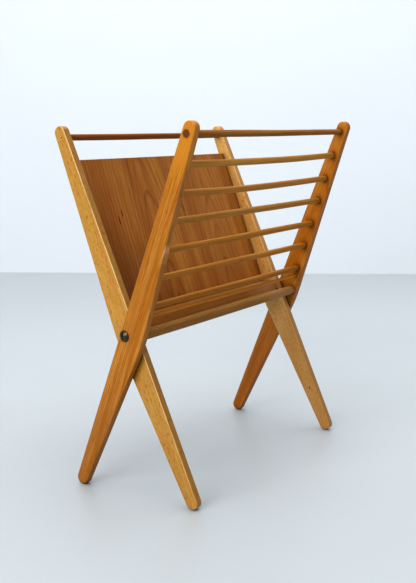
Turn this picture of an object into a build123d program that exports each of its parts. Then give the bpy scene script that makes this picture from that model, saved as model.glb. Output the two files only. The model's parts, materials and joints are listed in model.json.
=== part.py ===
from build123d import *
import os
from math import atan, cos, hypot, radians, sin, tan

# Folding X-frame magazine rack.
# X runs along the rails, -Y is the spindle (front) side, +Y is the panel (back)
# side, +Z is up. The origin is the centre of the footprint on the ground.
# All lengths are in millimetres.

# ---------------------------------------------------------------- dimensions
length = 420.0            # outside to outside of the outer legs
height = 515.5            # ground to leg tops
leg_thick = 12.0          # all four legs
leg_gap = 2.4             # space between an outer and an inner leg
leg_round = 2.0           # softened leg edges
foot_low = 0.6            # ground to the lowest point of a leg's full round end
glide_dia = 8.2           # dark glide under each foot
glide_thick = 1.4

# Leg outline in the Y-Z plane, for a leg whose top leans to -Y.
edge_base = 108.7         # straight edge: y at z = 0
edge_slope = 0.4274       # straight edge: y lost per unit of z
kink_y = -26.8            # widest point of the leg, on the kinked edge
kink_z = 218.0
kink_upper = 0.3509       # slope of the kinked edge above the kink
kink_lower = 0.5288       # slope of the kinked edge below the kink
kink_round = 260.0        # the kink is a long soft curve

pivot_z = 233.3           # both frames turn about (y = 0, z = pivot_z)

# Round rails of the spindle frame
spindle_dia = 9.0
spindle_z = [462.9, 425.9, 389.7, 351.2, 313.9, 274.4]
spindle_inset = 11.6      # along Y, from the leg's front edge to a spindle axis
top_rail_dia = 9.0
top_rail_z = 499.6
top_rail_inset = 11.5
rod_dia = 5.4             # thin rod under the lowest spindle
rod_z = 261.2
rod_inset = 10.2
bottom_dia = 15.0         # thick rail at the bottom of the spindle frame
bottom_y = -22.9
bottom_z = 235.3
blind_depth = 8.0         # depth of a round rail in a leg
glue_gap = 0.05           # radial room for glue in a hole

# Panel frame
panel_thick = 4.0
panel_front_y = 103.56    # front top edge of the panel
panel_top_z = 468.0
panel_slope = 0.358       # lean of the panel
panel_groove = 4.0        # depth of the grooves in the inner legs
slat_top_z = 249.2
slat_thick = 14.2
slat_end_thick = 9.8      # thinner at its ends, above the nuts
slat_end_len = 9.0
slat_back_y = 33.0
slat_inset = 0.3          # slat front sits just behind the inner legs' edge
slat_groove = 3.0         # depth of the groove that the panel stands in
tenon_len = 7.0
tenon_thick = 6.0
tenon_front_y = 3.0
tenon_back_y = 21.0

# Pivot hardware
bolt_dia = 5.0
bolt_room = 0.06          # radial running clearance in the legs
head_dia = 16.0
head_rim = 0.9
head_high = 4.4
slot_wide = 1.7
slot_deep = 1.3
spacer_dia = 16.0
spacer_thick = 2.3
washer_dia = 10.0
washer_thick = 1.0
nut_flats = 8.0
nut_high = 4.0
side_play = 0.1

# Nails that pin the back top rail
nail_dia = 1.5
nail_len = 20.0
nail_head_dia = 2.6
nail_head_high = 0.6

# ------------------------------------------------------------ derived places
outer_x = length / 2                       # outer face of the outer legs
outer_in = outer_x - leg_thick             # inner face of the outer legs
inner_x = outer_in - leg_gap               # outer face of the inner legs
inner_in = inner_x - leg_thick             # inner face of the inner legs

a_s, a_u, a_l = atan(edge_slope), atan(kink_upper), atan(kink_lower)


def straight_y(z):
    """y of the straight edge of a leg that leans to -Y."""
    return edge_base - edge_slope * z


def kinked_y(z):
    """y of the kinked edge of a leg that leans to -Y."""
    k = kink_upper if z > kink_z else kink_lower
    return kink_y - k * (z - kink_z)


def panel_y(z):
    """y of the panel's front face."""
    return panel_front_y - panel_slope * (panel_top_z - z)


# --------------------------------------------------------------------- a leg
def yz(y, z):
    return (0.0, y, z)


def leg_face():
    """Outline of a leg: straight edge, kinked edge, two round ends."""
    # end circle at the top, tangent to both edges and reaching the full height
    r1 = (edge_base - kink_y - kink_upper * kink_z - (edge_slope - kink_upper) * height) / (
        1 / cos(a_s) + 1 / cos(a_u) - (edge_slope - kink_upper))
    z1 = height - r1
    y1 = straight_y(z1) - r1 / cos(a_s)
    # end circle at the foot, tangent to both edges and just above the ground
    k0 = kink_y + kink_lower * kink_z
    r2 = (edge_base - k0 - (edge_slope - kink_lower) * foot_low) / (
        1 / cos(a_s) + 1 / cos(a_l) + edge_slope - kink_lower)
    z2 = r2 + foot_low
    y2 = straight_y(z2) - r2 / cos(a_s)

    # tangent points
    top_s = (y1 + r1 * cos(a_s), z1 + r1 * sin(a_s))
    top_k = (y1 - r1 * cos(a_u), z1 - r1 * sin(a_u))
    foot_s = (y2 + r2 * cos(a_s), z2 + r2 * sin(a_s))
    foot_k = (y2 - r2 * cos(a_l), z2 - r2 * sin(a_l))
    # soft kink
    half = (a_l - a_u) / 2
    run = kink_round * tan(half)
    k_up = (kink_y - run * sin(a_u), kink_z + run * cos(a_u))
    k_lo = (kink_y + run * sin(a_l), kink_z - run * cos(a_l))
    mid = (a_l + a_u) / 2
    sag = kink_round * (1 / cos(half) - 1)
    k_mid = (kink_y + sag * cos(mid), kink_z + sag * sin(mid))
    edges = [
        Line(yz(*foot_s), yz(*top_s)),
        ThreePointArc(yz(*top_s), yz(y1, z1 + r1), yz(*top_k)),
        Line(yz(*top_k), yz(*k_up)),
        ThreePointArc(yz(*k_up), yz(*k_mid), yz(*k_lo)),
        Line(yz(*k_lo), yz(*foot_k)),
        ThreePointArc(yz(*foot_k), yz(y2, z2 - r2), yz(*foot_s)),
    ]
    return Face(Wire(edges)), (r1, y1, z1), (r2, y2, z2)


profile, top_end, foot_end = leg_face()


def leg_blank(x_low):
    """Leg leaning to -Y, from x_low to x_low + leg_thick, with soft edges and
    a small flat underfoot for its glide."""
    solid = extrude(Pos(x_low, 0, 0) * profile, amount=leg_thick, dir=(1, 0, 0))
    solid = fillet(solid.edges().filter_by(lambda e: abs(e.bounding_box().size.X) < 1e-3), leg_round)
    ground = Pos(x_low + leg_thick / 2, foot_end[1], glide_thick - 10) * Box(60, 80, 20)
    return solid - ground


def rod_x(dia, y, z, x_low, x_high):
    """Round bar along X."""
    return Pos((x_low + x_high) / 2, y, z) * Rot(0, 90, 0) * Cylinder(dia / 2, x_high - x_low)


def mirror_x(shape):
    return mirror(shape, about=Plane.YZ)


def mirror_y(shape):
    return mirror(shape, about=Plane.XZ)


# ------------------------------------------------------------- spindle frame
spindles = [(spindle_dia, kinked_y(z) + spindle_inset, z) for z in spindle_z]
rod = (rod_dia, kinked_y(rod_z) + rod_inset, rod_z)
thick = (bottom_dia, bottom_y, bottom_z)
front_rail = (top_rail_dia, kinked_y(top_rail_z) + top_rail_inset, top_rail_z)

leg = leg_blank(-outer_x)
for d, y, z in spindles + [rod, thick]:
    leg -= rod_x(d + 2 * glue_gap, y, z, -outer_in - blind_depth - glue_gap, -outer_in + 5)
leg -= rod_x(front_rail[0] + 2 * glue_gap, front_rail[1], front_rail[2], -outer_x - 5, -outer_in + 5)
leg -= rod_x(bolt_dia + 2 * bolt_room, 0, pivot_z, -outer_x - 5, -outer_in + 5)
outer_leg_left = leg
outer_leg_right = mirror_x(leg)

reach = outer_in + blind_depth


def turned_bar(d, y, z, half, soft=0.5):
    """Round bar with lightly chamfered ends."""
    bar = rod_x(d, y, z, -half, half)
    return chamfer(bar.edges().filter_by(GeomType.CIRCLE), soft)


spindle_parts = [turned_bar(d, y, z, reach) for d, y, z in spindles]
lower_rod = turned_bar(*rod, reach)
bottom_rail = turned_bar(*thick, reach, 0.8)
front_top_rail = turned_bar(*front_rail, outer_x, 0.25)

# --------------------------------------------------------------- panel frame
back_rail = (top_rail_dia, -front_rail[1], top_rail_z)

# panel: a tilted sheet between the inner legs, standing in the floor slat
lean = atan(panel_slope)
panel_low_z = slat_top_z - slat_groove + 0.1
front_top = (panel_front_y, panel_top_z)


def panel_sheet(half, front_off, back_off, top_off, low_z):
    """Sheet parallel to the panel: half is its half width, the offsets move
    its front, back and top faces outwards."""
    dy, dz = cos(lean), -sin(lean)            # direction through the thickness, to the back
    uy, uz = sin(lean), cos(lean)             # direction up the sheet
    fy = front_top[0] - front_off * dy + top_off * uy
    fz = front_top[1] - front_off * dz + top_off * uz
    wide = panel_thick + front_off + back_off
    down_f = (fz - low_z) / uz
    by, bz = fy + wide * dy, fz + wide * dz
    down_b = (bz - low_z) / uz
    pts = [(fy, fz), (by, bz), (by - down_b * uy, bz - down_b * uz), (fy - down_f * uy, fz - down_f * uz)]
    face = Face(Wire.make_polygon([yz(*p) for p in pts], close=True))
    return extrude(Pos(-half, 0, 0) * face, amount=2 * half, dir=(1, 0, 0))


back_panel = panel_sheet(inner_in + panel_groove - 0.2, 0, 0, 0, panel_low_z)
groove_sheet = panel_sheet(inner_in + panel_groove, 0.05, 0.05, 0.1, panel_low_z - 0.1)

# floor slat: its front face follows the inner legs' straight edge
slat_low_z = slat_top_z - slat_thick
slat_pts = [
    (-straight_y(slat_top_z) + slat_inset, slat_top_z),
    (slat_back_y, slat_top_z),
    (slat_back_y, slat_low_z),
    (-straight_y(slat_low_z) + slat_inset, slat_low_z),
]
slat_face = Face(Wire.make_polygon([yz(*p) for p in slat_pts], close=True))
floor_slat = extrude(Pos(-inner_in, 0, 0) * slat_face, amount=2 * inner_in, dir=(1, 0, 0))
long_edges = floor_slat.edges().filter_by(Axis.X)
floor_slat = fillet(long_edges, 1.2)
tenon_mid_z = slat_top_z - 5.0
tenon_mid_y = (tenon_front_y + tenon_back_y) / 2
floor_slat += Pos(0, tenon_mid_y, tenon_mid_z) * Box(
    2 * (inner_in + tenon_len), tenon_back_y - tenon_front_y, tenon_thick)
# rebates under the slat's ends leave room for the nuts
for s in (-1, 1):
    floor_slat -= Pos(s * (inner_in - slat_end_len / 2), 0, slat_top_z - slat_end_thick - 10) * Box(slat_end_len, 120, 20)
# the groove for the panel stays inside the slat's own length
slot_sheet = panel_sheet(inner_in, 0.05, 0.05, 0.1, panel_low_z - 0.1)
floor_slat -= slot_sheet

leg = mirror_y(leg_blank(-inner_x))
leg -= rod_x(back_rail[0] + 2 * glue_gap, back_rail[1], back_rail[2], -inner_in - blind_depth - glue_gap, -inner_in + 5)
leg -= rod_x(bolt_dia + 2 * bolt_room, 0, pivot_z, -inner_x - 5, -inner_in + 5)
leg -= groove_sheet
leg -= Pos(-inner_in - tenon_len / 2, tenon_mid_y, tenon_mid_z) * Box(
    tenon_len + 0.2, tenon_back_y - tenon_front_y + 0.1, tenon_thick + 0.1)
leg -= rod_x(nail_dia, back_rail[1], back_rail[2], -inner_x - 1, -inner_in)
leg -= rod_x(nail_head_dia, back_rail[1], back_rail[2], -inner_x - 1, -inner_x + nail_head_high)
inner_leg_left = leg
inner_leg_right = mirror_x(leg)

back_half = inner_in + blind_depth
back_top_rail = turned_bar(*back_rail, back_half)
nail_tip = inner_x - nail_len
for s in (-1, 1):
    back_top_rail -= rod_x(nail_dia, back_rail[1], back_rail[2],
                           *sorted((s * (back_half + 1), s * (nail_tip - 0.2))))


def nail(s):
    """Nail along X: head flush with the outer face of an inner leg."""
    head = rod_x(nail_head_dia, back_rail[1], back_rail[2], *sorted((s * inner_x, s * (inner_x - nail_head_high))))
    shank = rod_x(nail_dia, back_rail[1], back_rail[2], *sorted((s * (inner_x - nail_head_high), s * nail_tip)))
    return head + shank


rail_nails = Compound(children=[nail(-1), nail(1)])

# ----------------------------------------------------------- pivot hardware
nut_inner = inner_in - side_play - washer_thick
bolt_end = nut_inner - nut_high - 1.0


def pivot_bolt(s):
    """Domed, slotted bolt: head on the outer leg, tip past the nut."""
    rise = head_high - head_rim
    rad = ((rise) ** 2 + (head_dia / 2) ** 2) / (2 * rise)
    arc_r = head_dia / 4                        # a point part way up the dome
    arc_h = head_high - rad + (rad ** 2 - arc_r ** 2) ** 0.5
    r = head_dia / 2
    c = 0.25                                    # eased rim
    top = head_rim - c
    start_h = head_high - rad + (rad ** 2 - (r - c) ** 2) ** 0.5

    def px(h, q):
        return (-(outer_x + h), 0.0, pivot_z + q)

    outline = Wire([
        Line(px(0, 0), px(0, r)),
        Line(px(0, r), px(top, r)),
        Line(px(top, r), px(start_h, r - c)),
        ThreePointArc(px(start_h, r - c), px(arc_h, arc_r), px(head_high, 0)),
        Line(px(head_high, 0), px(0, 0)),
    ])
    head = revolve(Face(outline), Axis((0, 0, pivot_z), (1, 0, 0)), 360)
    head -= Pos(-(outer_x + head_high - slot_deep / 2), 0, pivot_z) * Rot(12, 0, 0) * Box(slot_deep, slot_wide, 40)
    shank = rod_x(bolt_dia, 0, pivot_z, -outer_x, -bolt_end)
    shank = chamfer(shank.edges().filter_by(GeomType.CIRCLE).sort_by(Axis.X)[-1:], 0.5)
    bolt = head + shank
    return bolt if s < 0 else mirror_x(bolt)


def spacer(s):
    """Flat spacer between an outer and an inner leg."""
    ring = rod_x(spacer_dia, 0, pivot_z, -outer_in, -outer_in + spacer_thick)
    ring -= rod_x(bolt_dia + 0.4, 0, pivot_z, -outer_in - 1, -outer_in + spacer_thick + 1)
    return ring if s < 0 else mirror_x(ring)


def washer(s):
    """Washer between an inner leg and its nut."""
    a = -inner_in + side_play
    ring = rod_x(washer_dia, 0, pivot_z, a, a + washer_thick)
    ring -= rod_x(bolt_dia + 0.4, 0, pivot_z, a - 1, a + washer_thick + 1)
    return ring if s < 0 else mirror_x(ring)


def nut(s):
    """Hexagon nut on the bolt, inside the rack."""
    a = -nut_inner
    hexa = Pos(a, 0, pivot_z) * Rot(0, 90, 0) * extrude(
        RegularPolygon(nut_flats / 2, 6, major_radius=False), nut_high)
    cone = Pos(a + nut_high / 2, 0, pivot_z) * Rot(0, 90, 0) * Cylinder(nut_flats / 2 / cos(radians(30)) - 0.25, nut_high)
    cone = chamfer(cone.edges().filter_by(GeomType.CIRCLE), 0.3)
    hexa = hexa & cone
    hexa -= rod_x(bolt_dia + 0.04, 0, pivot_z, a - 1, a + nut_high + 1)
    return hexa if s < 0 else mirror_x(hexa)


pivot_bolts = Compound(children=[pivot_bolt(-1), pivot_bolt(1)])
spacer_washers = Compound(children=[spacer(-1), spacer(1)])
nut_washers = Compound(children=[washer(-1), washer(1)])
pivot_nuts = Compound(children=[nut(-1), nut(1)])

# -------------------------------------------------------------- foot glides
def glide(x, y):
    """Low round glide with an eased lower rim."""
    disc = Pos(x, y, glide_thick / 2) * Cylinder(glide_dia / 2, glide_thick)
    return fillet(disc.edges().filter_by(GeomType.CIRCLE).sort_by(Axis.Z)[:1], 0.5)


outer_mid = outer_x - leg_thick / 2
inner_mid = inner_x - leg_thick / 2
outer_foot_glides = Compound(children=[glide(-outer_mid, foot_end[1]), glide(outer_mid, foot_end[1])])
inner_foot_glides = Compound(children=[glide(-inner_mid, -foot_end[1]), glide(inner_mid, -foot_end[1])])

# ------------------------------------------------------------------- output
parts = {
    "outer_leg_left": outer_leg_left,
    "outer_leg_right": outer_leg_right,
    "front_top_rail": front_top_rail,
    "lower_rod": lower_rod,
    "bottom_rail": bottom_rail,
    "inner_leg_left": inner_leg_left,
    "inner_leg_right": inner_leg_right,
    "back_top_rail": back_top_rail,
    "back_panel": back_panel,
    "floor_slat": floor_slat,
    "rail_nails": rail_nails,
    "pivot_bolts": pivot_bolts,
    "spacer_washers": spacer_washers,
    "nut_washers": nut_washers,
    "pivot_nuts": pivot_nuts,
    "outer_foot_glides": outer_foot_glides,
    "inner_foot_glides": inner_foot_glides,
}
for i, bar in enumerate(spindle_parts, 1):
    parts["spindle_%d" % i] = bar

os.makedirs("parts", exist_ok=True)
for name, shape in parts.items():
    export_step(shape, os.path.join("parts", name + ".step"))
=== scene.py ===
import bpy, bmesh, json, math
from mathutils import Matrix, Vector


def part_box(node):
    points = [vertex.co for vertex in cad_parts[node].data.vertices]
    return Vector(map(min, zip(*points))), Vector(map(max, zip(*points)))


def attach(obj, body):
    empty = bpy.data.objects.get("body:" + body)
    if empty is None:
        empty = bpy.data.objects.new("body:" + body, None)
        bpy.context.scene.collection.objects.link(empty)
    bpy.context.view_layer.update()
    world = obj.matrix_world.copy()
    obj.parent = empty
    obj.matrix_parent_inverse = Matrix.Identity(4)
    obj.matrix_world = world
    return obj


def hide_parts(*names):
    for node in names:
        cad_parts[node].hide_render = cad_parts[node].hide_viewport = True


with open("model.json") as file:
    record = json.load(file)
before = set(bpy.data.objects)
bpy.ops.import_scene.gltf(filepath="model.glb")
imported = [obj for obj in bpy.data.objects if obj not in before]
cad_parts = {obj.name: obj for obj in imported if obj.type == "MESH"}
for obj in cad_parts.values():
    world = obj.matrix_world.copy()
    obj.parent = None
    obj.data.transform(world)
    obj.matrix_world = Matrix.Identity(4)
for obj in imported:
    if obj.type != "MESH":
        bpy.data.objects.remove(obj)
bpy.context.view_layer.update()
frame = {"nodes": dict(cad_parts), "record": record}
nodes = frame["nodes"]
scene = bpy.context.scene

# ------------------------------------------------------------------ camera
YAW, PITCH, ROLL = math.radians(35.89), math.radians(10.13), math.radians(-1.38)
fw = Vector((math.cos(PITCH) * math.cos(YAW), math.cos(PITCH) * math.sin(YAW), -math.sin(PITCH)))
rt = Vector((math.sin(YAW), -math.cos(YAW), 0.0))
up = rt.cross(fw)
r = rt * math.cos(ROLL) + up * math.sin(ROLL)
u = -rt * math.sin(ROLL) + up * math.cos(ROLL)
cam_data = bpy.data.cameras.new("camera")
cam = bpy.data.objects.new("camera", cam_data)
scene.collection.objects.link(cam)
m = Matrix.Identity(4)
for i, col in enumerate((r, u, -fw)):
    for k in range(3):
        m[k][i] = col[k]
m.translation = Vector((-1.04344, -0.74417, 0.49055))
cam.matrix_world = m
cam_data.sensor_fit = "VERTICAL"
cam_data.sensor_height = 36.0
cam_data.sensor_width = 36.0
cam_data.lens = 843.9 / 583.0 * 36.0
cam_data.clip_start = 0.02
cam_data.clip_end = 60.0
scene.camera = cam

scene.view_settings.view_transform = "Standard"
scene.view_settings.look = "None"
scene.view_settings.gamma = 0.86


# --------------------------------------------------------------- node tools
def lin(rgb):
    """sRGB 0-255 to linear."""
    out = []
    for c in rgb:
        c = c / 255.0
        out.append(c / 12.92 if c <= 0.04045 else ((c + 0.055) / 1.055) ** 2.4)
    return tuple(out)


class Nodes:
    """A small helper that builds one material's node tree."""

    def __init__(self, name):
        self.mat = bpy.data.materials.new(name)
        self.mat.use_nodes = True
        self.nt = self.mat.node_tree
        self.nt.nodes.clear()
        self.out = self.nt.nodes.new("ShaderNodeOutputMaterial")
        self.bsdf = self.nt.nodes.new("ShaderNodeBsdfPrincipled")
        self.nt.links.new(self.bsdf.outputs[0], self.out.inputs[0])

    def put(self, socket, value):
        if hasattr(value, "is_linked"):
            self.nt.links.new(value, socket)
        else:
            socket.default_value = value

    def new(self, kind, **props):
        n = self.nt.nodes.new(kind)
        for k, v in props.items():
            setattr(n, k, v)
        return n

    def math(self, op, a, b=None, c=None, clamp=False):
        n = self.new("ShaderNodeMath", operation=op, use_clamp=clamp)
        self.put(n.inputs[0], a)
        if b is not None:
            self.put(n.inputs[1], b)
        if c is not None:
            self.put(n.inputs[2], c)
        return n.outputs[0]

    def vec(self, op, a, b=None):
        n = self.new("ShaderNodeVectorMath", operation=op)
        self.put(n.inputs[0], a)
        if b is not None:
            self.put(n.inputs[1], b)
        return n.outputs["Value"] if op in ("DOT_PRODUCT", "LENGTH", "DISTANCE") else n.outputs[0]

    def place(self, vector, rot=(0, 0, 0), scale=(1, 1, 1), loc=(0, 0, 0)):
        n = self.new("ShaderNodeMapping")
        self.put(n.inputs["Vector"], vector)
        n.inputs["Rotation"].default_value = rot
        n.inputs["Scale"].default_value = scale
        n.inputs["Location"].default_value = loc
        return n.outputs[0]

    def noise(self, vector, scale=1.0, detail=2.0, rough=0.5, dist=0.0, color=False):
        n = self.new("ShaderNodeTexNoise")
        self.put(n.inputs["Vector"], vector)
        n.inputs["Scale"].default_value = scale
        n.inputs["Detail"].default_value = detail
        n.inputs["Roughness"].default_value = rough
        n.inputs["Distortion"].default_value = dist
        return n.outputs["Color"] if color else n.outputs[0]

    def noise1(self, w, detail=2.0, rough=0.5):
        n = self.new("ShaderNodeTexNoise", noise_dimensions="1D")
        self.put(n.inputs["W"], w)
        n.inputs["Scale"].default_value = 1.0
        n.inputs["Detail"].default_value = detail
        n.inputs["Roughness"].default_value = rough
        return n.outputs[0]

    def range(self, value, lo, hi, to_lo=0.0, to_hi=1.0, smooth=False):
        n = self.new("ShaderNodeMapRange", interpolation_type="SMOOTHSTEP" if smooth else "LINEAR")
        self.put(n.inputs["Value"], value)
        n.inputs["From Min"].default_value = lo
        n.inputs["From Max"].default_value = hi
        n.inputs["To Min"].default_value = to_lo
        n.inputs["To Max"].default_value = to_hi
        return n.outputs[0]

    def mix(self, fac, a, b, mode="MIX"):
        n = self.new("ShaderNodeMix", data_type="RGBA", blend_type=mode)
        n.clamp_factor = True
        self.put(n.inputs[0], fac)
        for sock, v in ((n.inputs[6], a), (n.inputs[7], b)):
            self.put(sock, (*v, 1.0) if isinstance(v, tuple) and len(v) == 3 else v)
        return n.outputs[2]

    def ramp(self, fac, stops):
        n = self.new("ShaderNodeValToRGB")
        self.put(n.inputs[0], fac)
        el = n.color_ramp.elements
        while len(el) < len(stops):
            el.new(0.5)
        for e, (p, v) in zip(el, stops):
            e.position = p
            e.color = (v, v, v, 1) if not isinstance(v, tuple) else (*v, 1)
        return n.outputs[0]

    def xyz(self, vector):
        n = self.new("ShaderNodeSeparateXYZ")
        self.put(n.inputs[0], vector)
        return n.outputs

    def edge_mask(self, radius):
        """0 on flat faces, rising towards edges: how far a bevelled normal
        turns away from the face's own."""
        bev = self.new("ShaderNodeBevel", samples=4)
        bev.inputs["Radius"].default_value = radius
        geo = self.new("ShaderNodeNewGeometry")
        dot = self.vec("DOT_PRODUCT", bev.outputs[0], geo.outputs["True Normal"])
        return self.math("SUBTRACT", 1.0, dot)


def wood(name, rot, base, dark, light, pith, spacing, seed=0.0, taper=(0.0, 0.0), pith2=None,
         warp=0.004, warp_scale=(14, 14, 1.6), lines=0.5, zones=0.4, zone_scale=0.21, fibre=0.25,
         fleck=0.0, fleck_scale=(420, 420, 55), fleck_cut=(0.62, 0.72), mottle=0.3,
         mottle_scale=(28, 28, 7), drift=0.25, foot=0.0, foot_span=(0.02, 0.26), side=0.0, fade=None, ply=None, end=None, bands=None,
         thin=False, arris=None, edge_from=0.01,
         edge_col=None, edge_amount=0.0, edge_radius=0.003, grime=0.25, grime_reach=0.007,
         rough=0.42, spec=0.16, coat=0.0, bump=0.35, spots=()):
    """Varnished wood. rot turns the piece's grain onto local Z; pith is the
    tree's centre line in the local XY plane; spacing is one year ring; taper
    (slope, z) makes the rings close over in arches above that z."""
    g = Nodes(name)
    off = (seed * 0.37, seed * 0.61, seed * 1.7)
    tc = g.new("ShaderNodeTexCoord").outputs["Object"]
    loc = g.place(tc, rot=rot)
    p = g.vec("ADD", loc, off)
    # slow wander of the grain
    w = g.noise(g.place(p, scale=warp_scale), 1.0, 3.0, 0.55, color=True)
    w = g.vec("SUBTRACT", w, (0.5, 0.5, 0.5))
    w = g.vec("MULTIPLY", w, (warp * 2, warp * 2, 0.0))
    q = g.vec("ADD", p, w)
    x, y, z = g.xyz(g.vec("ADD", loc, w))[:3]

    def radius(px, py, extra=0.0):
        dx = g.math("SUBTRACT", x, px)
        dy = g.math("SUBTRACT", y, py)
        if taper[0]:
            dy = g.math("MULTIPLY_ADD", g.math("SUBTRACT", z, taper[1]), taper[0], dy)
        rr = g.math("SQRT", g.math("ADD", g.math("MULTIPLY", dx, dx), g.math("MULTIPLY", dy, dy)))
        return g.math("ADD", rr, extra) if extra else rr

    rad = radius(*pith)
    if pith2:
        rad = g.math("SMOOTH_MIN", rad, radius(*pith2), 0.02)
    turn = g.math("DIVIDE", rad, spacing)
    # year rings: a slow darkening, then a sharp step back
    fr = g.math("FRACT", turn)
    if thin:
        ring = g.ramp(fr, [(0.0, 0.0), (0.66, 0.10), (0.88, 0.85), (0.95, 1.0), (1.0, 0.0)])
    else:
        ring = g.ramp(fr, [(0.0, 0.0), (0.45, 0.12), (0.82, 0.95), (0.93, 1.0), (1.0, 0.0)])
    strength = g.range(g.noise1(g.math("MULTIPLY_ADD", turn, 0.63, seed), 1.0), 0.3, 0.7, 0.1, 1.0)
    ring = g.math("MULTIPLY", ring, strength)
    zone = g.range(g.noise1(g.math("MULTIPLY_ADD", turn, zone_scale, 3.3 + seed), 3.0, 0.62), 0.32, 0.68)
    # fibres and pores, long along the grain
    fib = g.noise(g.place(q, scale=(900, 900, 16)), 1.0, 3.0, 0.6)
    fib2 = g.noise(g.place(q, scale=(2600, 2600, 60)), 1.0, 1.0, 0.5)
    streak = g.noise(g.place(q, scale=(260, 260, 5)), 1.0, 3.0, 0.6)
    mot = g.noise(g.place(p, scale=mottle_scale, loc=(3.1, 1.7, 0.4)), 1.0, 3.0, 0.6, 0.3)
    slow = g.noise(g.place(p, scale=(9, 9, 4)), 1.0, 2.0, 0.5)

    half = tuple(0.5 * (b + d) for b, d in zip(base, dark))
    col = g.mix(g.math("MULTIPLY", zone, zones), base, light)
    col = g.mix(g.range(streak, 0.36, 0.7, 0.0, fibre * 1.2), col, half)
    col = g.mix(g.range(slow, 0.36, 0.66, 0.0, drift), col, half)
    if bands:
        # broad soft streaks of another tone along the grain
        tone, amount, across, along = bands
        bd = g.noise(g.place(q, scale=(across, across, along), loc=(7.7, 2.2, 5.1)), 1.0, 3.0, 0.6)
        col = g.mix(g.range(bd, 0.40, 0.62, 0.0, amount, smooth=True), col, tone)
    col = g.mix(g.math("MULTIPLY", ring, lines), col, dark)
    col = g.mix(g.range(mot, 0.35, 0.7, 0.0, mottle), col, half)
    col = g.mix(g.range(fib, 0.38, 0.72, 0.0, fibre), col, dark)
    col = g.mix(g.range(fib2, 0.45, 0.8, 0.0, fibre * 0.8), col, dark)
    dots = None
    if fleck:
        fl = g.noise(g.place(p, scale=fleck_scale), 1.0, 1.0, 0.4)
        dots = g.range(fl, *fleck_cut, 0.0, fleck, smooth=True)
        col = g.mix(dots, col, dark)
    edge = g.edge_mask(edge_radius)
    # a colour along the edges: on the pale legs a painted highlight with worn varnish, on the orange legs painted shade
    if edge_col:
        brk = g.range(g.noise(g.place(p, scale=(90, 90, 22)), 1.0, 3.0, 0.65), 0.35, 0.62)
        e = g.math("MULTIPLY", g.range(edge, edge_from, 0.16, 0.0, edge_amount), g.math("MULTIPLY_ADD", brk, 0.65, 0.35))
        col = g.mix(e, col, edge_col)
    if arris:
        # the rounded long edges of a board: worn varnish and a painted highlight where the light catches them
        nx = g.xyz(g.new("ShaderNodeNewGeometry").outputs["Normal"])[0]
        n2 = g.math("MULTIPLY", nx, nx)
        f = g.math("MULTIPLY", g.math("MULTIPLY", n2, 4.0), g.math("SUBTRACT", 1.0, n2))
        wear = g.range(g.noise(g.place(p, scale=(60, 60, 18), loc=(2.0, 9.0, 4.0)), 1.0, 3.0, 0.6), 0.36, 0.56, 0.35, 1.0)
        col = g.mix(g.math("MULTIPLY", g.range(f, 0.60, 0.97, 0.0, arris[1]), wear), col, arris[0])
    # painted shade: the legs are coloured darker towards the feet, near the floor
    if foot:
        h = g.xyz(tc)[2]
        f = g.math("MULTIPLY", g.range(h, *foot_span, foot, 0.0, smooth=True), g.math("MULTIPLY_ADD", slow, 0.5, 0.75))
        col = g.mix(f, col, tuple(0.75 * d for d in dark))
    if side:
        # painted shade: the narrow faces of a board, turned away from the window, are coloured darker
        nx = g.math("ABSOLUTE", g.xyz(g.new("ShaderNodeNewGeometry").outputs["Normal"])[0])
        col = g.mix(g.range(nx, 0.2, 0.8, side, 0.0), col, tuple(0.8 * d for d in dark))
    # painted shade: a slow ramp that darkens the colour along the given axis
    if fade:
        axis, lo, hi, amount = fade
        f = g.range(g.vec("DOT_PRODUCT", tc, axis), lo, hi, 0.0, amount, smooth=True)
        col = g.mix(f, col, tuple(0.8 * d for d in dark))
    if end:
        # end grain drinks the varnish and turns dark
        nx = g.math("ABSOLUTE", g.xyz(g.new("ShaderNodeNewGeometry").outputs["Normal"])[0])
        pores = g.range(g.noise(g.place(tc, scale=(10, 1900, 1900)), 1.0, 2.0, 0.6), 0.35, 0.65, 0.75, 1.0)
        col = g.mix(g.math("MULTIPLY", g.range(nx, 0.55, 0.9), pores), col, end)
    if ply:
        # plywood: a paler core between the two face veneers, seen on its edges
        front, back, core = ply
        yy = g.xyz(loc)[1]
        f = g.math("MULTIPLY", g.range(yy, front + 0.00065, front + 0.00085), g.range(yy, back - 0.00085, back - 0.00065, 1.0, 0.0))
        mid = g.noise(g.place(loc, scale=(1500, 2600, 1500)), 1.0, 3.0, 0.6)
        col = g.mix(f, col, g.mix(g.range(mid, 0.35, 0.65), core, tuple(0.55 * c for c in core)))
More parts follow.
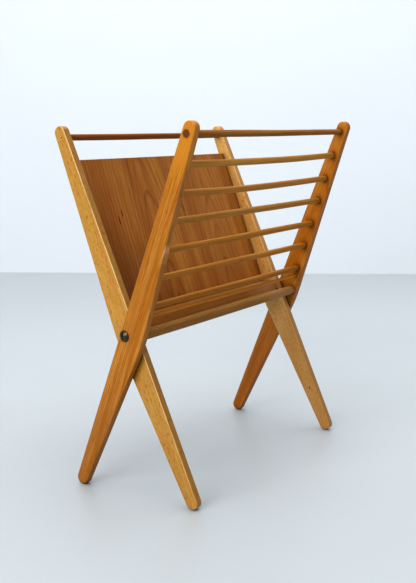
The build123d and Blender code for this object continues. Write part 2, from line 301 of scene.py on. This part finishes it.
    # local marks: (centre, radii, colour, amount, softness)
    for centre, radii, tint, amount, soft in spots:
        d = g.place(g.vec("SUBTRACT", tc, centre), rot=rot)
        d = g.vec("DIVIDE", d, radii)
        jit = g.noise(g.place(tc, scale=(300, 300, 300)), 1.0, 2.0)
        ln = g.math("MULTIPLY_ADD", jit, 0.6, g.vec("LENGTH", d))
        f = g.range(ln, 1.3 - soft, 1.3, amount, 0.0, smooth=True)
        col = g.mix(f, col, tint)
    # painted shade: colour darkened where the AO node finds nearby surfaces, in corners, joints and under the bars,
    # with some dirt there too
    if grime:
        ao = g.new("ShaderNodeAmbientOcclusion", samples=6, only_local=False)
        ao.inputs["Distance"].default_value = grime_reach
        f = g.range(ao.outputs["AO"], 0.35, 0.95, grime, 0.0)
        col = g.mix(f, col, tuple(0.35 * d for d in dark))
    g.put(g.bsdf.inputs["Base Color"], col)
    ro = g.math("MULTIPLY_ADD", fib, 0.14, rough - 0.10)
    ro = g.math("MULTIPLY_ADD", mot, 0.12, g.math("SUBTRACT", ro, 0.03))
    g.put(g.bsdf.inputs["Roughness"], ro)
    g.bsdf.inputs["Specular IOR Level"].default_value = spec
    g.bsdf.inputs["Specular Tint"].default_value = (1.0, 0.80, 0.55, 1.0)
    if coat:
        g.bsdf.inputs["Coat Weight"].default_value = coat
        g.bsdf.inputs["Coat Roughness"].default_value = 0.16
    h = g.math("MULTIPLY_ADD", fib, 0.6, g.math("MULTIPLY", ring, 0.35))
    h = g.math("MULTIPLY_ADD", fib2, 0.4, h)
    if dots is not None:
        h = g.math("MULTIPLY_ADD", dots, 0.8, h)
    bp = g.new("ShaderNodeBump")
    bp.inputs["Strength"].default_value = bump
    bp.inputs["Distance"].default_value = 0.00035
    bp.invert = True
    g.put(bp.inputs["Height"], h)
    g.put(g.bsdf.inputs["Normal"], bp.outputs[0])
    return g.mat


def metal(name, base, dark, rough=0.3, metallic=1.0, patina=0.5, scale=260.0, bump=0.15):
    """Old metal: worn bright on its edges, dull and dark in its hollows."""
    g = Nodes(name)
    tc = g.new("ShaderNodeTexCoord").outputs["Object"]
    n1 = g.noise(g.place(tc, scale=(scale, scale, scale)), 1.0, 4.0, 0.65)
    n2 = g.noise(g.place(tc, scale=(scale * 9, scale * 9, scale * 9)), 1.0, 2.0, 0.6)
    col = g.mix(g.range(n1, 0.36, 0.66, 0.0, patina), base, dark)
    edge = g.edge_mask(0.0012)
    col = g.mix(g.range(edge, 0.02, 0.3, 0.0, 0.6), col, tuple(min(1.0, 1.7 * c) for c in base))
    ao = g.new("ShaderNodeAmbientOcclusion", samples=6)
    ao.inputs["Distance"].default_value = 0.003
    col = g.mix(g.range(ao.outputs["AO"], 0.3, 0.95, 0.75, 0.0), col, tuple(0.3 * c for c in dark))
    g.put(g.bsdf.inputs["Base Color"], col)
    g.bsdf.inputs["Metallic"].default_value = metallic
    ro = g.math("MULTIPLY_ADD", n1, 0.25, rough - 0.12)
    g.put(g.bsdf.inputs["Roughness"], g.math("MULTIPLY_ADD", n2, 0.10, g.math("SUBTRACT", ro, 0.05)))
    bp = g.new("ShaderNodeBump")
    bp.inputs["Strength"].default_value = bump
    bp.inputs["Distance"].default_value = 0.0002
    g.put(bp.inputs["Height"], g.math("MULTIPLY_ADD", n2, 0.5, n1))
    g.put(g.bsdf.inputs["Normal"], bp.outputs[0])
    return g.mat


def plastic(name, base, rough=0.55):
    """Moulded plastic with a fine grain, scuffed and dusty low down."""
    g = Nodes(name)
    tc = g.new("ShaderNodeTexCoord").outputs["Object"]
    n1 = g.noise(g.place(tc, scale=(3000, 3000, 3000)), 1.0, 2.0, 0.6)
    n2 = g.noise(g.place(tc, scale=(420, 420, 420)), 1.0, 3.0, 0.6)
    z = g.xyz(tc)[2]
    dust = g.math("MULTIPLY", g.range(z, 0.0, 0.0014, 0.5, 0.0), g.range(n2, 0.35, 0.65))
    col = g.mix(g.range(n2, 0.4, 0.7, 0.0, 0.5), base, tuple(1.8 * c for c in base))
    col = g.mix(dust, col, (0.16, 0.155, 0.15))
    g.put(g.bsdf.inputs["Base Color"], col)
    g.put(g.bsdf.inputs["Roughness"], g.math("MULTIPLY_ADD", n2, 0.25, rough - 0.12))
    bp = g.new("ShaderNodeBump")
    bp.inputs["Strength"].default_value = 0.3
    bp.inputs["Distance"].default_value = 0.0001
    g.put(bp.inputs["Height"], n1)
    g.put(g.bsdf.inputs["Normal"], bp.outputs[0])
    return g.mat


# ---------------------------------------------------------------- materials
LEAN = math.atan(0.4269)            # lean of the legs' grain
PANEL_LEAN = math.atan(0.358)
OUT_ROT = (-LEAN, 0, 0)             # outer legs: top leans to -Y
IN_ROT = (LEAN, 0, 0)               # inner legs: top leans to +Y
PANEL_ROT = (PANEL_LEAN, 0, 0)
BAR_ROT = (0, -math.pi / 2, 0)      # grain along X

A_BASE, A_DARK, A_LIGHT = lin((181, 117, 25)), lin((120, 61, 6)), lin((200, 142, 52))
B_BASE, B_DARK, B_LIGHT = lin((192, 149, 63)), lin((138, 84, 20)), lin((204, 168, 88))


def orange_leg(name, seed, spots=(), **kw):
    args = dict(pith=(0.02, -0.22), spacing=0.0026, seed=seed, warp=0.0075, warp_scale=(16, 16, 2.4), lines=0.42,
                zones=0.6, fibre=0.42, fleck=0.34, fleck_scale=(560, 560, 60), fleck_cut=(0.56, 0.70),
                mottle=0.34, mottle_scale=(70, 70, 12), drift=0.3, foot=0.38, side=0.06, grime=0.7, grime_reach=0.009,
                bands=(lin((214, 156, 78)), 0.5, 150, 2.2), coat=0.12, arris=(lin((214, 158, 92)), 0.28), edge_col=lin((134, 60, 10)), edge_amount=0.75, spots=spots)
    args.update(kw)
    tones = args.pop("tones", (A_BASE, A_DARK, A_LIGHT))
    return wood(name, OUT_ROT, *tones, **args)


def pale_leg(name, seed, spots=(), **kw):
    args = dict(pith=(0.11, 0.03), spacing=0.0042, seed=seed, taper=(0.035, 0.0), warp=0.005,
                lines=0.3, zones=0.7, fibre=0.26, fleck=0.68, fleck_scale=(480, 480, 170),
                fleck_cut=(0.57, 0.70), mottle=0.55, mottle_scale=(110, 110, 40), foot=0.16, side=0.38,
                coat=0.5, arris=(lin((246, 218, 166)), 0.60), grime=0.6, bands=(lin((190, 120, 40)), 0.35, 60, 14), edge_col=lin((250, 222, 170)), edge_amount=1.0,
                edge_from=0.05, edge_radius=0.0022, spots=spots)
    args.update(kw)
    tones = args.pop("tones", (B_BASE, B_DARK, B_LIGHT))
    return wood(name, IN_ROT, *tones, **args)


def bar(name, seed, base, dark, light, **kw):
    args = dict(pith=(0.05, 0.04), spacing=0.0021, warp=0.0016, warp_scale=(30, 30, 3),
                lines=0.55, zones=0.6, fibre=0.42, mottle=0.5, mottle_scale=(90, 90, 12),
                edge_radius=0.0012, grime=0.8, grime_reach=0.010, rough=0.46, spec=0.09)
    args.update(kw)
    args.setdefault("end", tuple(0.55 * d + 0.14 * b for d, b in zip(dark, base)))
    return wood(name, BAR_ROT, base, dark, light, seed=seed, **args)


DARKMARK = lin((30, 14, 6))


def middle(node):
    lo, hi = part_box(node)
    return (lo[1] + hi[1]) / 2, (lo[2] + hi[2]) / 2


# stain rubbed round the bars where they enter the right outer leg
STAINS = [((0.2000, *middle("spindle_%d" % i)), (0.02, 0.0095, 0.0125), lin((128, 56, 8)), 0.55, 0.9) for i in range(1, 7)]
STAINS.append(((0.2000, *middle("front_top_rail")), (0.02, 0.0095, 0.0115), lin((110, 50, 12)), 0.6, 0.8))
mats = {
    "outer_leg_left": orange_leg("orange_leg_a", 0.0, spots=[
        ((-0.2100, -0.1130, 0.4920), (0.02, 0.0350, 0.0750), lin((214, 146, 42)), 0.42, 0.8),
        ((-0.2085, -0.0730, 0.3520), (0.02, 0.0020, 0.0130), lin((216, 162, 108)), 0.60, 0.8),
        ((-0.2095, -0.0680, 0.3400), (0.02, 0.0036, 0.0150), lin((206, 146, 82)), 0.35, 0.9),
        ((-0.2100, -0.0800, 0.4030), (0.02, 0.0012, 0.0040), lin((120, 60, 14)), 0.7, 0.7),
        ((-0.2100, *middle("front_top_rail")), (0.02, 0.0068, 0.0068), lin((118, 54, 16)), 0.80, 0.40),
    ]),
    # the far orange leg: its tones are a little lighter than the near leg's, painted light, and it gets more painted
    # shade at its foot and joints
    "outer_leg_right": orange_leg("orange_leg_b", 1.3, foot=0.5, foot_span=(0.03, 0.30), grime=0.95, grime_reach=0.012, arris=None, side=0.28,
                                  tones=(lin((192, 122, 25)), lin((128, 62, 4)), lin((202, 138, 44))), spots=STAINS),
    "inner_leg_left": pale_leg("pale_leg_a", 0.4),
    # the far pale leg: its tones are lighter than the near leg's, painted light on its inner face, with a painted shade
    # ramp darker towards the bottom
    "inner_leg_right": pale_leg("pale_leg_b", 2.1, foot=0.05, fade=((0.0, 0.0, -1.0), -0.30, -0.12, 0.50),
                                arris=(lin((236, 204, 150)), 0.35), side=0.45,
                                tones=(lin((223, 179, 102)), lin((154, 101, 41)), lin((231, 191, 120))), spots=[
        ((0.1836, -0.0657, 0.0708), (0.01, 0.0016, 0.0042), lin((80, 44, 16)), 0.9, 0.5),
        ((0.1900, -0.0450, 0.1536), (0.01, 0.0012, 0.0030), lin((110, 64, 24)), 0.8, 0.5),
    ]),
    "back_panel": wood("panel_veneer", PANEL_ROT, lin((184, 121, 47)), lin((84, 38, 6)), lin((206, 146, 68)),
                       pith=(-0.050, -0.0587), pith2=(0.098, -0.0587), spacing=0.0064, thin=True,
                       bands=(lin((150, 82, 20)), 0.6, 46, 2.0), taper=(0.115, 0.13),
                       warp=0.0065, warp_scale=(11, 11, 3.0), lines=0.80, zones=0.5, zone_scale=0.75,
                       fibre=0.30, fleck=0.16, fleck_scale=(520, 520, 34), fleck_cut=(0.57, 0.70),
                       mottle=0.4, mottle_scale=(22, 22, 4), rough=0.40,
                       seed=0.0, drift=0.4, grime=0.5, grime_reach=0.010,
                       # painted shade at the panel's lower left, where the near legs shade it
                       fade=((-1.0, 0.0, -1.2), -0.38, -0.18, 0.46),
                       ply=(-0.06070, -0.05676, lin((196, 150, 84))),
                       spots=[((-0.1245, 0.0738, 0.3850), (0.0075, 0.006, 0.0200), lin((170, 88, 18)), 0.45, 1.0),
                              ((-0.1197, 0.0757, 0.3903), (0.0013, 0.006, 0.0074), DARKMARK, 1.0, 0.5),
                              ((-0.1290, 0.0720, 0.3798), (0.0012, 0.006, 0.0095), DARKMARK, 1.0, 0.5)]),
    "floor_slat": wood("slat_wood", BAR_ROT, lin((167, 113, 45)), lin((98, 52, 10)), lin((181, 130, 62)),
                       pith=(0.02, 0.16), spacing=0.0036, seed=0.9, lines=0.6, fibre=0.45, mottle=0.5,
                       # the lighter patch at the slat's right end is a painted reflection of light
                       spots=[((0.1500, 0.0, 0.2450), (0.03, 0.06, 0.075), lin((198, 158, 116)), 0.40, 1.2)]),
    "front_top_rail": bar("rail_dark_front", 0.7, lin((163, 110, 49)), lin((100, 55, 19)), lin((184, 131, 66)), spec=0.04),
    "back_top_rail": bar("rail_dark_back", 1.9, lin((152, 90, 32)), lin((80, 38, 10)), lin((184, 122, 60)), lines=0.75, spec=0.04),
    "lower_rod": bar("rod_wood", 3.1, lin((206, 132, 42)), lin((148, 86, 20)), lin((220, 154, 64))),
    "bottom_rail": bar("bottom_rail_wood", 4.4, lin((161, 115, 53)), lin((100, 58, 17)), lin((186, 143, 80)),
                       pith=(0.03, 0.05), spacing=0.0028,
                       # the lighter patch at the rail's right end is painted light
                       spots=[((0.1500, *middle("bottom_rail")), (0.03, 0.03, 0.085), lin((192, 152, 110)), 0.38, 1.2)]),
    "rail_nails": metal("nail_steel", lin((92, 80, 66)), lin((30, 22, 16)), rough=0.45, metallic=0.9, patina=0.85),
    "pivot_bolts": metal("bolt_bronze", lin((98, 86, 68)), lin((34, 28, 22)), rough=0.24, patina=0.8),
    "spacer_washers": metal("spacer_steel", lin((176, 168, 156)), lin((96, 86, 74)), rough=0.40),
    "nut_washers": metal("washer_steel", lin((180, 174, 164)), lin((104, 96, 86)), rough=0.38),
    "pivot_nuts": metal("nut_steel", lin((178, 172, 160)), lin((100, 90, 78)), rough=0.36),
    "outer_foot_glides": plastic("glide_plastic", lin((30, 27, 24))),
}
mats["inner_foot_glides"] = mats["outer_foot_glides"]
# each spindle has its own colours, set one by one; the lower ones are darker, partly their own tone and partly painted
# shade deep in the rack
SPINDLES = [
    ((191, 140, 55), (131, 82, 23), (208, 160, 77)),
    ((189, 132, 54), (127, 76, 21), (206, 152, 76)),
    ((182, 130, 49), (117, 70, 16), (204, 153, 74)),
    ((189, 129, 42), (119, 68, 12), (207, 152, 65)),
    ((188, 126, 40), (119, 67, 12), (206, 149, 63)),
    ((176, 116, 35), (111, 62, 10), (197, 140, 56)),
]
for i, (b, d, l) in enumerate(SPINDLES, 1):
    mats["spindle_%d" % i] = bar("spindle_wood_%d" % i, 5.0 + 1.37 * i, lin(b), lin(d), lin(l))
for n, o in nodes.items():
    o.data.materials.clear()
    o.data.materials.append(mats[n])


# ------------------------------------------------------- turned round bars
def turned(node, radii, sag=0.0, seed=0, segments=64):
    """A hand-turned bar in the place of a CAD bar: it swells and tapers a
    little, is never quite round, and long ones sag. radii: (x, radius) in mm."""
    lo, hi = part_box(node)
    y0, z0 = (lo[1] + hi[1]) / 2, (lo[2] + hi[2]) / 2
    half = (hi[0] - lo[0]) / 2
    xs = [-half, -half + 0.0005]
    n = 84
    xs += [(-half + 0.0012) + (2 * half - 0.0024) * i / n for i in range(n + 1)]
    xs += [half - 0.0005, half]

    def rad(x):
        x = x * 1000
        if x <= radii[0][0]:
            return radii[0][1] / 1000
        for (xa, ra), (xb, rb) in zip(radii, radii[1:]):
            if x <= xb:
                t = (x - xa) / (xb - xa)
                t = t * t * (3 - 2 * t)
                return (ra + (rb - ra) * t) / 1000
        return radii[-1][1] / 1000

    bm = bmesh.new()
    rings = []
    for x in xs:
        s = x / half
        inside = max(0.0, 1 - s * s)
        cy = y0 + 0.00012 * inside * math.sin(x * 31 + seed * 1.7)
        cz = z0 - sag * inside + 0.00012 * inside * math.sin(x * 23 + seed * 2.9)
        rr = rad(x)
        if abs(x) > half - 1e-6:
            rr -= 0.00045
        elif abs(x) > half - 0.0006:
            rr -= 0.00012
        ring = []
        for k in range(segments):
            a = 2 * math.pi * k / segments
            wob = 1 + 0.007 * inside * (math.sin(2 * a + x * 19 + seed) + 0.6 * math.sin(3 * a - x * 37 + seed * 3.1)
                                        + 0.35 * math.sin(7 * a + x * 83 + seed * 5.3))
            ring.append(bm.verts.new((x, cy + rr * wob * math.cos(a), cz + rr * wob * math.sin(a))))
        rings.append(ring)
    for a, b in zip(rings, rings[1:]):
        for k in range(segments):
            f = bm.faces.new((a[k], a[(k + 1) % segments], b[(k + 1) % segments], b[k]))
            f.smooth = True
    for ring, out in ((rings[0], -1), (rings[-1], 1)):
        # end grain: two inner rings and a centre, very slightly hollow from sanding
        prev = ring
        base = ring[0].co.x
        cyz = (sum(v.co.y for v in ring) / segments, sum(v.co.z for v in ring) / segments)
        for t, deep in ((0.8, 0.00004), (0.45, 0.00008)):
            new = [bm.verts.new((base - out * deep, cyz[0] + (v.co.y - cyz[0]) * t, cyz[1] + (v.co.z - cyz[1]) * t)) for v in ring]
            for k in range(segments):
                q = (prev[k], prev[(k + 1) % segments], new[(k + 1) % segments], new[k])
                bm.faces.new(q if out < 0 else q[::-1])
            prev = new
        c = bm.verts.new((base - out * 0.0001, *cyz))
        for k in range(segments):
            q = (prev[k], prev[(k + 1) % segments], c)
            bm.faces.new(q if out < 0 else q[::-1])
    bmesh.ops.recalc_face_normals(bm, faces=bm.faces)
    me = bpy.data.meshes.new(node + "_turned")
    bm.to_mesh(me)
    bm.free()
    ob = bpy.data.objects.new(node + "_turned", me)
    scene.collection.objects.link(ob)
    ob.data.materials.append(mats[node])
    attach(ob, body_of[node])
    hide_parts(node)
    return ob


body_of = {n: b for b, ns in frame["record"]["behaviour"]["bodies"].items() for n in ns}
SPINDLE_R = [(-206, 4.48), (-197, 4.45), (-150, 4.55), (-20, 4.68), (70, 4.66), (150, 4.52), (197, 4.42), (206, 4.48)]
SAGS = [0.0024, 0.0028, 0.0004, 0.0004, 0.0002, 0.0003]
for i in range(1, 7):
    n = "spindle_%d" % i
    turned(n, SPINDLE_R, sag=SAGS[i - 1], seed=i)
turned("front_top_rail",
       [(-210, 4.5), (-196, 4.5), (-180, 4.6), (-60, 4.64), (50, 4.36), (185, 4.2), (197, 4.45), (210, 4.5)], sag=0.0006, seed=8)
turned("back_top_rail",
       [(-191.6, 4.48), (-183, 4.46), (-60, 4.55), (60, 4.5), (183, 4.4), (191.6, 4.48)], sag=0.0003, seed=9)
turned("lower_rod",
       [(-206, 2.68), (-197, 2.66), (0, 2.74), (197, 2.64), (206, 2.68)], sag=0.0003, seed=10, segments=48)
turned("bottom_rail",
       [(-206, 7.45), (-197, 7.4), (-100, 7.5), (60, 7.5), (150, 7.4), (197, 7.2), (206, 7.4)], sag=0.0002, seed=11, segments=80)


# ------------------------------------------------------------------- stage
def quad(name, pts, mat):
    bm = bmesh.new()
    bm.faces.new([bm.verts.new(p) for p in pts])
    me = bpy.data.meshes.new(name)
    bm.to_mesh(me)
    bm.free()
    ob = bpy.data.objects.new(name, me)
    scene.collection.objects.link(ob)
    ob.data.materials.append(mat)
    return ob


def paint(name, base, rough, spec=0.3, vary=0.03, scale=1.3):
    g = Nodes(name)
    tc = g.new("ShaderNodeTexCoord").outputs["Object"]
    n1 = g.noise(g.place(tc, scale=(scale, scale, scale)), 1.0, 4.0, 0.55)
    n2 = g.noise(g.place(tc, scale=(60, 60, 60)), 1.0, 3.0, 0.6)
    col = g.mix(g.range(n1, 0.3, 0.7), tuple(c * (1 - vary) for c in base), tuple(min(1, c * (1 + vary)) for c in base))
    g.put(g.bsdf.inputs["Base Color"], col)
    g.put(g.bsdf.inputs["Roughness"], g.math("MULTIPLY_ADD", n2, 0.1, rough - 0.05))
    g.bsdf.inputs["Specular IOR Level"].default_value = spec
    return g.mat


S = 8.0
quad("floor", ((-S, -S, 0), (S, -S, 0), (S, S, 0), (-S, S, 0)), paint("floor_paint", (0.429, 0.463, 0.488), 0.42))
W0, W1 = Vector((1.175, 1.767, 0)), Vector((1.803, 0.457, 0))
along = (W1 - W0).normalized()
a, b = W0 - along * 6, W1 + along * 6
quad("wall", ((a.x, a.y, 0), (b.x, b.y, 0), (b.x, b.y, 4.5), (a.x, a.y, 4.5)), paint("wall_paint", (0.64, 0.678, 0.72), 0.8, 0.1, 0.01))

# ------------------------------------------------------------------- light
world = bpy.data.worlds.new("world")
scene.world = world
world.use_nodes = True
world.node_tree.nodes["Background"].inputs["Color"].default_value = (0.96, 0.98, 1.0, 1)
world.node_tree.nodes["Background"].inputs["Strength"].default_value = 0.60


def area(name, pos, target, size, power, color):
    d = bpy.data.lights.new(name, "AREA")
    d.shape = "RECTANGLE"
    d.size, d.size_y = size
    d.energy = power
    d.color = color
    o = bpy.data.objects.new(name, d)
    scene.collection.objects.link(o)
    o.location = pos
    o.visible_camera = False
    o.rotation_mode = "QUATERNION"
    o.rotation_quaternion = (Vector(target) - Vector(pos)).to_track_quat("-Z", "Y")
    return o


area("window", (-5.0, 0.10, 2.6), (0, 0, 0.3), (4.8, 3.6), 284.0, (1.0, 0.985, 0.96))
area("overhead", (0.35, 0.15, 2.9), (0.2, 0.1, 0.3), (3.0, 3.0), 84.0, (1.0, 0.985, 0.96))
